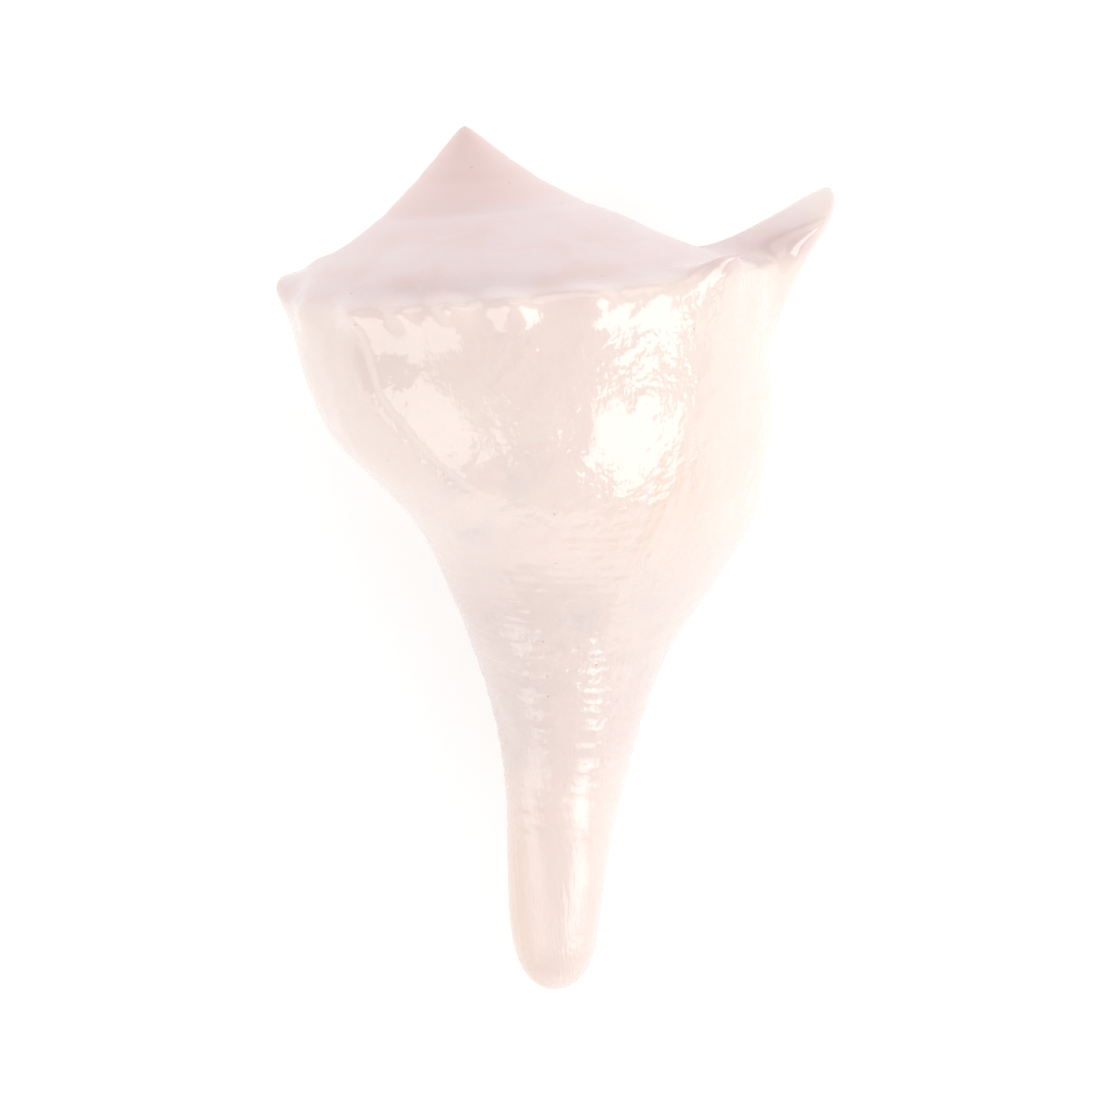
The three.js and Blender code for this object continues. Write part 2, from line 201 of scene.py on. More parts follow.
@dataclass(frozen=True)
class RestPose:
    """How the shell lies on the table."""

    roll: float = -4.401
    pitch: float = 10.094
    shift: tuple[float, float, float] = (-15.258, 78.762, 34.567)

    def turn(self) -> Matrix:
        """Rotation from the shell's own frame to the table's."""
        pitch, roll = math.radians(self.pitch), math.radians(self.roll)
        return Matrix.Rotation(pitch, 3, "X") @ Matrix.Rotation(roll, 3, "Y")

    def place(self, points: Array) -> Array:
        """Moves points from the shell's own frame to the table.

        Args:
            points: Positions in millimetres, shaped (..., 3).

        Returns:
            Positions in metres on the table.
        """
        return (points @ np.array(self.turn()).T + np.array(self.shift)) * MM

    def unplace(self, points: Array) -> Array:
        """Moves points from the table back to the shell's own frame.

        Args:
            points: Positions in metres, shaped (..., 3).

        Returns:
            Positions in millimetres in the shell's own frame.
        """
        return (points / MM - np.array(self.shift)) @ np.array(self.turn())


@dataclass(frozen=True)
class GrowthLaw:
    """The outline of the shell and how it widens as it coils."""

    length: float = 160.0
    lip_bearing: float = 114.0
    whorl_growth: float = 2.33
    spire_depth: float = 26.6
    spire_flare: float = 26.2
    apex_rounding: float = 0.75
    droop: float = 3.8
    lean: float = 0.0018
    suture_radius: float = 21.2
    suture_growth: float = 1.65
    whorl_bulge: float = 0.25
    seam_depth: float = 0.14
    seam_width: float = 0.7
    canal_end: float = 9.0
    flare_length: float = 4.0
    join_softness: float = 4.4
    droop_radii: Span = (27, 47)
    droop_shares: Span = (0.8, 1.0)
    lean_radii: Span = (20, 32)
    corner_step: float = 0.5
    flank: Curve = Curve(
        (
            (29, 57.9), (37, 55.9), (49, 54.3), (61, 54.1), (72.5, 51.7), (82.5, 47.5), (92, 40.1),
            (102, 31.3), (114, 24.6), (127.5, 19.6), (143, 14.1), (157, 8.1), (172.5, 0),
        )
    )
    canal_offset: Curve = Curve(
        ((60, 0), (90, 0), (110, 2.2), (122, 2.2), (135, 2.4), (148, 0.8), (160, 0.1))
    )
    canal_width: Curve = Curve(
        ((60, 3.4), (90, 8.1), (110, 8.2), (122, 7.8), (135, 9.1), (148, 8.2), (160, 5.9))
    )
    lip_lead: Curve = Curve(((18, 0), (24, -5), (30, 0), (60, 6), (90, 7), (140, 24), (160, 26)))

    def growth(self, angle: Array) -> Array:
        """Size of the outline at a growth angle, against its size at the lip."""
        return self.whorl_growth ** (np.asarray(angle, float) / 360.0)

    def shoulder(self, angle: Array) -> Array:
        """Radius of the shoulder at a growth angle."""
        return self.flank.rows[0][1] * self.growth(angle)

    def bearing(self, angle: Array, drop: Array) -> Array:
        """Bearing in degrees of a growth angle at a drop."""
        return self.lip_bearing + angle + self.lip_lead(drop)

    def ramp_drop(self, angle: Array, radius: Array) -> Array:
        """Drop of the ramp between the apex and the shoulder.

        Args:
            angle: Growth angle in degrees.
            radius: Distance from the coiling axis.

        Returns:
            The drop of the surface there.
        """
        share = radius / self.shoulder(angle)
        droop = 1 - (1 - smooth(radius, *self.droop_radii)) * (1 - smooth(share, *self.droop_shares))
        depth = self.spire_depth * np.tanh(radius / self.spire_flare) + self.droop * droop
        lip_side = np.sin(np.radians(self.lip_bearing + angle))
        lean = self.lean * radius**2 * (1 - smooth(radius, *self.lean_radii)) * lip_side
        cone = np.hypot(depth, self.apex_rounding) - self.apex_rounding - lean
        seam = self.suture_radius * self.suture_growth ** (angle / 360)
        turns = np.log(np.maximum(radius, self.apex_rounding) / seam) / math.log(self.suture_growth)
        part = turns - np.floor(np.minimum(turns, 0))
        size = np.minimum(np.maximum(radius, 1e-6) / self.suture_radius, 1)
        bulge = np.where(part < 1, self.whorl_bulge * size * np.sin(np.pi * part), 0)
        nearest = seam * self.suture_growth ** np.minimum(np.round(turns), 0)
        off_seam = (radius - nearest) / (self.seam_width * size)
        groove = self.seam_depth * size * np.exp(-(off_seam**2))
        return np.where(radius < self.apex_rounding, cone, cone - bulge + groove)

    def flank_radius(self, angle: Array, drop: Array) -> Array:
        """Radius of the body whorl's side, before the canal is added.

        Args:
            angle: Growth angle in degrees.
            drop: Distance below the apex.

        Returns:
            The radius, 0 below the whorl's end.
        """
        scale = self.growth(angle)
        reach = drop / scale
        return np.where(reach >= self.flank.rows[-1][0], 0.0, scale * self.flank(reach))

    def canal_radius(self, bearing: Array, drop: Array) -> Array:
        """Radius of the canal tube round the axis.

        Args:
            bearing: Bearing in degrees.
            drop: Distance below the apex.

        Returns:
            The radius.
        """
        turn = np.radians(bearing)
        offset, width = self.canal_offset(drop), self.canal_width(drop)
        return offset * np.sin(turn) + np.sqrt(width**2 - (offset * np.cos(turn)) ** 2)

    def end_taper(self, drop: Array) -> Array:
        """Share of its width that the shell keeps as it rounds off at the canal's end."""
        part = np.clip((drop - self.length + self.canal_end) / self.canal_end, 0, 1)
        return np.sqrt(1 - part**3)

    def side_radius(self, angle: Array, drop: Array) -> Array:
        """Radius of the outside below the shoulder, before its edge runs out to the ramp.

        Args:
            angle: Growth angle in degrees.
            drop: Distance below the apex.

        Returns:
            The radius.
        """
        canal = self.canal_radius(self.bearing(angle, drop), drop)
        flank = self.flank_radius(angle, drop)
        return self.end_taper(drop) * soft_max(flank, canal, self.join_softness)

    def shoulder_flare(self, angle: Array, drop: Array) -> Array:
        """How far the side flares out to meet the ramp.

        Args:
            angle: Growth angle in degrees.
            drop: Distance below the apex.

        Returns:
            The extra radius; it dies away below the shoulder.
        """
        crest = self.shoulder(angle)
        top = self.ramp_drop(angle, crest)
        gap = crest - self.flank_radius(angle, top)
        return gap * np.exp(-np.maximum(drop - top, 0) / self.flare_length)

    def corner(self, angle: Array) -> tuple[Array, Array]:
        """How the ramp turns into the side at the shoulder.

        Args:
            angle: Growth angle in degrees.

        Returns:
            The directions of the ramp and of the side there, in radians down from straight outwards.
        """
        crest, step = self.shoulder(angle), self.corner_step
        top = self.ramp_drop(angle, crest)
        ramp = np.arctan2(top - self.ramp_drop(angle, crest - step), step)
        under = self.side_radius(angle, top + step) + self.shoulder_flare(angle, top + step)
        return ramp, np.arctan2(step, under - crest)

    def place(self, angle: Array, radius: Array, drop: Array) -> Array:
        """Positions in the shell's own frame.

        Args:
            angle: Growth angles in degrees.
            radius: Distances from the coiling axis.
            drop: Distances below the apex.

        Returns:
            Positions, shaped (..., 3).
        """
        turn = np.radians(self.bearing(angle, drop))
        return np.stack([radius * np.sin(turn), -drop, radius * np.cos(turn)], axis=-1)


@dataclass(frozen=True)
class Skin:
    """A grid of places on the plain outside, by growth angle in degrees, radius and drop."""

    angle: Array
    radius: Array
    drop: Array


@dataclass(frozen=True)
class Knob:
    """A rounded knob on the shoulder."""

    angle: float
    height: float
    width: float = 5.0
    reach: float = 4.2
    below: float = 1.5
    lift: float = 0.0
    steepness: float = 1.0


@dataclass(frozen=True)
class Spine:
    """The long spine beside the lip: a round cone that runs softly into the shoulder."""

    angle: float = -10.3
    length: float = 15.2
    slope: float = 3.5
    tip_radius: float = 1.31
    lift: float = 37.7
    shift: float = 1.72
    softness: float = 7.3
    ridge: float = 0.42
    slant: float = 0.3

    def push(self, across: Array, out: Array, up: Array) -> tuple[Array, Array]:
        """How far the spine pushes the surface.

        Args:
            across: Distance along the shoulder from the spine's middle.
            out: Distance outwards from the shoulder.
            up: Distance towards the apex from the shoulder.

        Returns:
            The push outwards and the push towards the apex.
        """
        cos, sin = math.cos(math.radians(self.lift)), math.sin(math.radians(self.lift))
        height = out * cos + up * sin
        older = np.maximum(-across, 0)
        across = np.where(across < 0, across * self.ridge, across)
        aside = np.hypot(across, up * cos - out * sin - self.shift + self.slant * older)
        spread = np.hypot(aside, self.tip_radius) - self.tip_radius
        rise = soft_max(height, self.length - self.slope * spread, self.softness) - height
        return rise * cos, rise * sin


@dataclass(frozen=True)
class Ornament:
    """Everything that stands out from the shoulder."""

    law: GrowthLaw
    edge_width: float = 3.1
    back_widening: float = 0.45
    back: Window = (-205, -180, -72, -58)
    spine: Spine = Spine()
    knobs: tuple[Knob, ...] = (
        Knob(-54, 4.2, 5.5, 4.6, 0.5, 0.8, 1.7), Knob(-72, 0.9), Knob(-89, 2.4, 4.0, 3.6, 2.0, 0.35),
        Knob(-107, 2.6, 3.4, 3.4, 2.0, 0.35), Knob(-121, 2.8, 3.3, 3.4, 2.0, 0.35),
        Knob(-134, 1.8, 3.4, 3.4, 2.0, 0.3), Knob(-148, 2.4, 4.0, 3.6, 2.0, 0.3), Knob(-174, 1.4),
        Knob(-208, 3.3, 11.0, 5.3, 1.4, 1.1), Knob(-228, 2.2), Knob(-252, 2.1), Knob(-276, 2.9),
        Knob(-303, 1.2), Knob(-330, 1.4),
    )

    def push(self, skin: Skin) -> tuple[Array, Array]:
        """How far the knobs and the spine push the surface.

        Args:
            skin: The plain outside.

        Returns:
            The push outwards and the push towards the apex.
        """
        angle, radius, drop = skin.angle, skin.radius, skin.drop
        crest = self.law.shoulder(angle)
        below = drop - self.law.ramp_drop(angle, crest)
        out, up = np.zeros_like(radius), np.zeros_like(radius)
        for knob in self.knobs:
            across = np.radians(angle - knob.angle) * crest
            across = np.where(across > 0, across * knob.steepness, across)
            away = np.hypot(radius - crest, below - knob.below)
            rise = knob.height * np.exp(-((across / knob.width) ** 2) - (away / knob.reach) ** 2)
            out += rise
            up += rise * knob.lift
        ramp, side = self.law.corner(angle)
        width = self.edge_width * (1 + self.back_widening * window(angle, self.back))
        edge = width * np.sin((side - ramp) / 2) * np.exp(-np.hypot(radius - crest, below) / width)
        inward, downward = -np.sin((side + ramp) / 2), np.cos((side + ramp) / 2)
        fade = smooth(radius, 0, self.law.suture_radius)
        out, up = (out + edge * inward) * fade, (up - edge * downward) * fade
        across = np.radians(angle - self.spine.angle) * crest
        spine_out, spine_up = self.spine.push(across, radius + out - crest, up - below)
        return out + spine_out, up + spine_up


@dataclass(frozen=True)
class Relief:
    """Fine unevenness of the outside: dents, growth lines, spiral threads, low waves and one fold.

    Lengths are in millimetres; spans of radius, drop or angle are where each kind fades in or out.
    """

    law: GrowthLaw
    dents: tuple[tuple[SmoothNoise, float], ...] = (
        (SmoothNoise(11, 12.0), 0.30),
        (SmoothNoise(12, 5.5), 0.15),
        (SmoothNoise(13, 2.8), 0.045),
    )
    dent_calm: float = 0.75
    dent_calm_drops: Span = (70, 115)
    ramp_share: float = 0.25
    flank_span: Span = (-4, 3)
    lines: tuple[tuple[SmoothNoise, float], ...] = (
        (SmoothNoise(21, 1.6), 0.022),
        (SmoothNoise(22, 5.0), 0.0352),
    )
    line_density: Span = (0.9, 0.05)
    thread_pitch: float = 1.8
    thread_height: float = 0.05
    thread_descent: float = 24.0
    thread_wander: tuple[SmoothNoise, float] = (SmoothNoise(23, 9.0), 2.5)
    thread_drops: Window = (62, 84, 120, 138)
    left_gain: float = 0.6
    left_angles: Span = (-190, -140)
    left_drops: Span = (96, 110)
    wave_pitch: float = 3.9
    wave_height: float = 0.13
    wave_wander: tuple[SmoothNoise, float] = (SmoothNoise(24, 8.0), 2.0)
    wave_uneven: tuple[SmoothNoise, float] = (SmoothNoise(25, 7.0), 0.45)
    wave_drops: Window = (84, 99, 120, 136)
    fold: Curve = Curve(((28, -150.5), (44, -148), (50, -143), (56, -138), (63, -127), (70, -116)))
    fold_depth: float = 0.3
    fold_drops: Window = (29, 34, 60, 68)
    fold_groove: float = 1.1
    fold_ridge: float = 1.7
    fold_ridge_beside: float = 2.4
    grown_radii: Span = (21.5, 28)
    grown_drops: Span = (40, 60)
    end_length: float = 6.0

    def unevenness(self, skin: Skin) -> Array:
        """Dents and growth lines.

        Args:
            skin: The plain outside.

        Returns:
            Their height.
        """
        angle, drop, points = skin.angle, skin.drop, self.law.place(skin.angle, skin.radius, skin.drop)
        below = drop - self.law.ramp_drop(angle, self.law.shoulder(angle))
        share = self.ramp_share + (1 - self.ramp_share) * smooth(below, *self.flank_span)
        calm = 1 - self.dent_calm * smooth(drop, *self.dent_calm_drops)
        rise = np.zeros_like(drop)
        for noise, amount in self.dents:
            rise += noise(points) * amount * share * calm
        across, along = self.line_density
        lines = np.stack([angle * across, drop * along, np.zeros_like(angle)], axis=-1)
        for noise, amount in self.lines:
            rise += noise(lines) * amount * share
        return rise

    def threads(self, skin: Skin) -> Array:
        """Spiral threads on the lower body, stronger towards its older side.

        Args:
            skin: The plain outside.

        Returns:
            Their height.
        """
        noise, wander = self.thread_wander
        angle, drop = skin.angle, skin.drop
        turn = 2 * np.pi * (drop - self.thread_descent * angle / 360) / self.thread_pitch
        turn = turn + wander * noise(self.law.place(angle, skin.radius, drop))
        strength = window(drop, self.thread_drops)
        left = (1 - smooth(angle, *self.left_angles)) * (1 - smooth(drop, *self.left_drops))
        return np.cos(turn) * self.thread_height * strength * (1 + self.left_gain * left)

    def waves(self, skin: Skin) -> Array:
        """Low waves round the neck.

        Args:
            skin: The plain outside.

        Returns:
            Their height.
        """
        drop, points = skin.drop, self.law.place(skin.angle, skin.radius, skin.drop)
        noise, wander = self.wave_wander
        turn = 2 * np.pi * drop / self.wave_pitch + wander * noise(points)
        strength = window(drop, self.wave_drops)
        noise, uneven = self.wave_uneven
        return np.sin(turn) * self.wave_height * strength * (1 - uneven + uneven * noise(points))

    def fold_height(self, skin: Skin) -> Array:
        """A groove with a ridge beside it, running down the older side of the back.

        Args:
            skin: The plain outside.

        Returns:
            Its height.
        """
        beside = np.radians(skin.angle - self.fold(skin.drop)) * skin.radius
        along = window(skin.drop, self.fold_drops)
        groove = np.exp(-((beside / self.fold_groove) ** 2))
        ridge = np.exp(-(((beside - self.fold_ridge_beside) / self.fold_ridge) ** 2))
        return self.fold_depth * (ridge - groove) * along

    def height(self, skin: Skin) -> Array:
        """Height of the relief over the plain surface.

        Args:
            skin: The plain outside.

        Returns:
            The height, in millimetres.
        """
        wide = smooth(skin.radius, *self.grown_radii)
        grown = wide + smooth(skin.drop, *self.grown_drops) * (1 - wide)
        at_end = 1 - smooth(skin.drop, self.law.length - self.end_length, self.law.length)
        kinds = (self.unevenness, self.threads, self.waves, self.fold_height)
        return sum(kind(skin) for kind in kinds) * grown * at_end


@dataclass(frozen=True)
class Cavity:
    """The spiral hollow that the animal lived in."""

    law: GrowthLaw
    wall: float = 2.2
    lip_edge: float = 0.9
    start: float = -425.0
    step: float = 4.0
    bottom: float = 112.0
    overshoot: float = 6.0
    clearance: float = 14.0
    glaze: float = 0.5
    glaze_ends: Span = (-20, 0)
    climb_start: float = 10.0
    climb_gap: float = 4.0
    pillar: float = 4.2
    pillar_softness: float = 6.0
    thinning: float = 5.0
    canal_wall: float = 0.8
    canal_wall_drops: Span = (90, 130)
    deepening: Span = (-120, -50)
    shrinking: float = 1.15
    roof: float = 2.53
    roof_corner: float = 2.0
    lift_steepness: float = 6.0
    least_gap: float = 0.8
    top_rows: int = 12
    side_rows: int = 44
    lip_sections: tuple[float, ...] = (-5.0, -4.0, -3.0, -2.0, -1.2, -0.5, 0.0, 0.5)
    open_sections: tuple[float, ...] = (0.8, 4, 8, 12, 16, 20, 25, 30, 35, 40, 45, 50, 55, 60, 65, 70)

    def is_open(self, angle: float) -> bool:
        """Whether the tool has left the shell at a growth angle."""
        return angle >= self.open_sections[0]

    def inner(self, angle: float, drop: Array) -> Array:
        """Radius of the hollow's inner side.

        Args:
            angle: Growth angle in degrees.
            drop: Drops to read.

        Returns:
            Radii of the earlier whorl, the column and the slot's far side, whichever is widest.
        """
        law = self.law
        climb = float(smooth(np.array(angle), self.climb_start, self.open_sections[-1]))
        glaze = self.glaze * (1 - float(smooth(np.array(angle), *self.glaze_ends)))
        glaze = glaze + self.climb_gap * climb
        pillar = self.pillar * law.growth(min(angle, 0) / 2)
        inner = soft_max(law.flank_radius(angle - 360, drop), pillar, self.pillar_softness) + glaze
        clear = np.maximum(inner, law.canal_radius(law.bearing(angle, drop), drop) + self.wall)
        return inner + (clear - inner) * climb

    def outer(self, angle: float, drop: Array) -> Array:
        """Radius of the hollow's outer side.

        Args:
            angle: Growth angle in degrees.
            drop: Drops to read.

        Returns:
            Radii just inside the wall, or well outside the shell past the lip.
        """
        if self.is_open(angle):
            return self.law.side_radius(0, drop) + self.clearance
        thick = float(smooth(np.array(-angle), 0, self.thinning))
        wall = self.lip_edge + (self.wall - self.lip_edge) * thick
        wall = wall + self.canal_wall * smooth(drop, *self.canal_wall_drops)
        return self.law.side_radius(min(angle, 0), drop) - wall

    def ring(self, angle: float) -> Array:
        """The hollow's cross-section at a growth angle.

        Args:
            angle: Growth angle in degrees.

        Returns:
            Positions round a closed ring, shaped (n, 3).
        """
        law = self.law
        grown = min(angle, 0.0)
        spread = self.clearance if self.is_open(angle) else 0.0
        start = law.shoulder(angle - 360) + self.glaze
        crest = law.shoulder(grown) - self.wall + spread
        end = law.length + self.overshoot
        deep = float(smooth(np.array(angle), *self.deepening))
        bottom = self.bottom + (end - self.bottom) * deep
        if angle <= self.deepening[0]:
            bottom = self.bottom * law.growth(angle - self.deepening[0]) ** self.shrinking
        share = np.arange(self.top_rows) / self.top_rows
        top_radius = start + (crest - self.roof_corner - start) * share
        lifted = spread * smooth(share * self.lift_steepness, 0, 2)
        top_drop = law.ramp_drop(grown, top_radius) + self.roof - lifted
        top = float(law.ramp_drop(grown, np.array(crest))) + self.roof + self.roof_corner - spread
        side_drop = top + (bottom - top) * np.arange(self.side_rows + 1) / self.side_rows
        least = self.inner(angle, side_drop) + self.least_gap
        side_radius = np.maximum(self.outer(angle, side_drop), least)
        inner_top = float(law.ramp_drop(grown, np.array(start))) + self.roof
        rows = np.arange(self.side_rows, 0, -1)
        inner_drop = inner_top + (bottom - inner_top) * rows / self.side_rows
        radius = np.concatenate([top_radius, side_radius, self.inner(angle, inner_drop)])
        drop = np.concatenate([top_drop, side_drop, inner_drop])
        return law.place(np.full_like(drop, angle), radius, drop)

    def rings(self) -> Array:
        """All cross-sections of the hollow, from deep in the spire to past the lip.

        Args:
            None.

        Returns:
            Positions, shaped (sections, n, 3).
        """
        coiled = np.arange(self.start, self.lip_sections[0], self.step)
        angles = [*coiled, *self.lip_sections, *self.open_sections]
        return np.stack([self.ring(float(angle)) for angle in angles])


def wall_faces(count: int, size: int, closed: bool) -> list[tuple[int, int, int, int]]:
    """Quads between neighbouring rings of equal size.

    Args:
        count: Number of rings.
        size: Points in a ring.
        closed: Joins the last ring to the first and leaves each ring open, not the other way round.

    Returns:
        Vertex indices of each quad, facing out.
    """
    faces = []
    for i in range(count if closed else count - 1):
        here, there = i * size, (i + 1) % count * size
        for j in range(size - 1 if closed else size):
            k = (j + 1) % size
            faces.append((here + j, here + k, there + k, there + j))
    return faces


def add_object(name: str, data: bpy.types.ID) -> bpy.types.Object:
    """Makes an object and links it to the scene.

    Args:
        name: Name of the object.
        data: What it shows.

    Returns:
        The new object.
    """
    made = bpy.data.objects.new(name, data)
    bpy.context.scene.collection.objects.link(made)
    return made


@contextmanager
def editing(mesh: bpy.types.Mesh) -> Iterator[bmesh.types.BMesh]:
    """Opens a mesh for editing and writes it back at the end.

    Args:
        mesh: The mesh to edit.

    Returns:
        The open edit, for a with statement.
    """
    edit = bmesh.new()
    edit.from_mesh(mesh)
    yield edit
    edit.to_mesh(mesh)
    edit.free()


def mesh_object(
    name: str, points: Array, faces: Sequence[Sequence[int]], merge: float
) -> bpy.types.Object:
    """Makes an object from points and faces, joining points that coincide.

    Args:
        name: Name of the object and its mesh.
        points: Positions in metres, shaped (n, 3).
        faces: Vertex indices of each face.
        merge: Distance within which points are joined.

    Returns:
        The new object, linked to the scene.
    """
    mesh = bpy.data.meshes.new(name)
    mesh.from_pydata(points.tolist(), [], faces)
    with editing(mesh) as edit:
        bmesh.ops.remove_doubles(edit, verts=edit.verts, dist=merge)
        bmesh.ops.dissolve_degenerate(edit, edges=edit.edges, dist=merge)
    return add_object(name, mesh)


def operator(operation: str, reflected: bool = False) -> Callable[[Signal, Value], Signal]:
    """Makes an arithmetic method that adds a Math node.

    Args:
        operation: What the node does.
        reflected: Whether the signal is the second operand.

    Returns:
        The method.
    """

    def method(self: Signal, other: Value) -> Signal:
        """Adds the node."""
        return self.shader.math(operation, *((other, self) if reflected else (self, other)))

    return method


class Signal:
    """A shader socket that Python arithmetic can be done on."""

    def __init__(self, shader: Shader, socket: bpy.types.NodeSocket | None) -> None:
        """Wraps an output socket.

        Args:
            shader: The shader the socket belongs to.
            socket: The output socket, or None for a node that has none.

        Returns:
            None.
        """
        self.shader = shader
        self.socket = socket

    __add__, __radd__ = operator("ADD"), operator("ADD", reflected=True)
    __sub__, __rsub__ = operator("SUBTRACT"), operator("SUBTRACT", reflected=True)
    __mul__, __rmul__ = operator("MULTIPLY"), operator("MULTIPLY", reflected=True)
    __truediv__, __rtruediv__ = operator("DIVIDE"), operator("DIVIDE", reflected=True)
    __pow__, __rpow__ = operator("POWER"), operator("POWER", reflected=True)

    def __neg__(self) -> Signal:
        """Negation."""
        return self * -1.0

    def sin(self) -> Signal:
        """Sine."""
        return self.shader.math("SINE", self)

    def bell(self, width: float) -> Signal:
        """A soft hump of 1 at zero that dies away over a width."""
        return math.e ** -((self / width) * (self / width))

    def step(self, low: float, high: float) -> Signal:
        """Smooth step from 0 at low to 1 at high.

        Args:
            low: Value that gives 0.
            high: Value that gives 1.

        Returns:
            The mapped signal.
        """
        return self.shader.node(
            "ShaderNodeMapRange",
            {"interpolation_type": "SMOOTHSTEP"},
            {"Value": self, "From Min": low, "From Max": high},
        )


class Shader:
    """A material's node tree, built from Python expressions."""

    def __init__(self, name: str) -> None:
        """Starts an empty material.

        Args:
            name: Name of the material.

        Returns:
            None.
        """
        self.material = bpy.data.materials.new(name)
        self.material.use_nodes = True
        self.tree = self.material.node_tree
        self.tree.nodes.clear()

    def node(
        self,
        kind: str,
        settings: dict[str, object] | None = None,
        inputs: dict[str | int, object] | None = None,
        output: str | int = 0,
    ) -> Signal:
        """Adds a node.

        Args:
            kind: Node type.
            settings: Properties, set before the sockets.
            inputs: Socket values or links, by name or index.
            output: Which output to return.

        Returns:
            The chosen output, or an empty signal from a node without outputs.
        """
        made = self.tree.nodes.new(kind)
        for key, value in (settings or {}).items():
            setattr(made, key, value)
        for key, value in (inputs or {}).items():
            if isinstance(value, Signal):
                self.tree.links.new(value.socket, made.inputs[key])
            elif isinstance(value, tuple) and len(value) == 3 and made.inputs[key].type == "RGBA":
                made.inputs[key].default_value = (*value, 1.0)
            else:
                made.inputs[key].default_value = value
        return Signal(self, made.outputs[output] if made.outputs else None)

    def math(self, operation: str, *values: Value) -> Signal:
        """Adds a Math node.

        Args:
            operation: What it does.
            values: Its operands.

        Returns:
            Its result.
        """
        return self.node("ShaderNodeMath", {"operation": operation}, dict(enumerate(values)))

    def attribute(self, name: str) -> Signal:
        """Reads a number stored on the mesh."""
        return self.node("ShaderNodeAttribute", {"attribute_name": name}, output="Fac")

    def mix(self, factor: Value, low: Signal | Colour, high: Signal | Colour) -> Signal:
        """Blends two colours.

        Args:
            factor: 0 for the first, 1 for the second.
            low: First colour.
            high: Second colour.

        Returns:
            The blend.
        """
        settings = {"data_type": "RGBA", "clamp_factor": True}
        return self.node("ShaderNodeMix", settings, {0: factor, 6: low, 7: high}, output=2)

    def vector(self, x: Value, y: Value, z: Value) -> Signal:
        """Packs three numbers into a vector."""
        return self.node("ShaderNodeCombineXYZ", None, {0: x, 1: y, 2: z})

    def noise(self, where: Signal, scale: float, detail: float, roughness: float) -> Signal:
        """Smooth noise about one half.

        Args:
            where: Position to read it at.
            scale: Cells per unit.
            detail: Octaves.
            roughness: Weight of the finer octaves.

        Returns:
            The noise.
        """
        inputs = {"Vector": where, "Scale": scale, "Detail": detail, "Roughness": roughness}
        return self.node("ShaderNodeTexNoise", {"noise_dimensions": "3D"}, inputs)

    def surface(self, inputs: dict[str | int, object]) -> bpy.types.Material:
        """Ends the tree with a Principled surface.

        Args:
            inputs: Its socket values or links, by name.

        Returns:
            The finished material.
        """
        surface = self.node("ShaderNodeBsdfPrincipled", None, inputs)
        self.node("ShaderNodeOutputMaterial", None, {"Surface": surface})
        return self.material


@dataclass(frozen=True)
class Patch:
    """A soft-edged spot of colour, placed by growth angle and drop."""

    age: float
    age_width: float
    drop: float
    drop_width: float
    strength: float = 1.0

    def mask(self, age: Signal, drop: Signal) -> Signal:
        """How strongly the spot shows at each place."""
        spot = (age - self.age).bell(self.age_width) * (drop - self.drop).bell(self.drop_width)
        return spot * self.strength


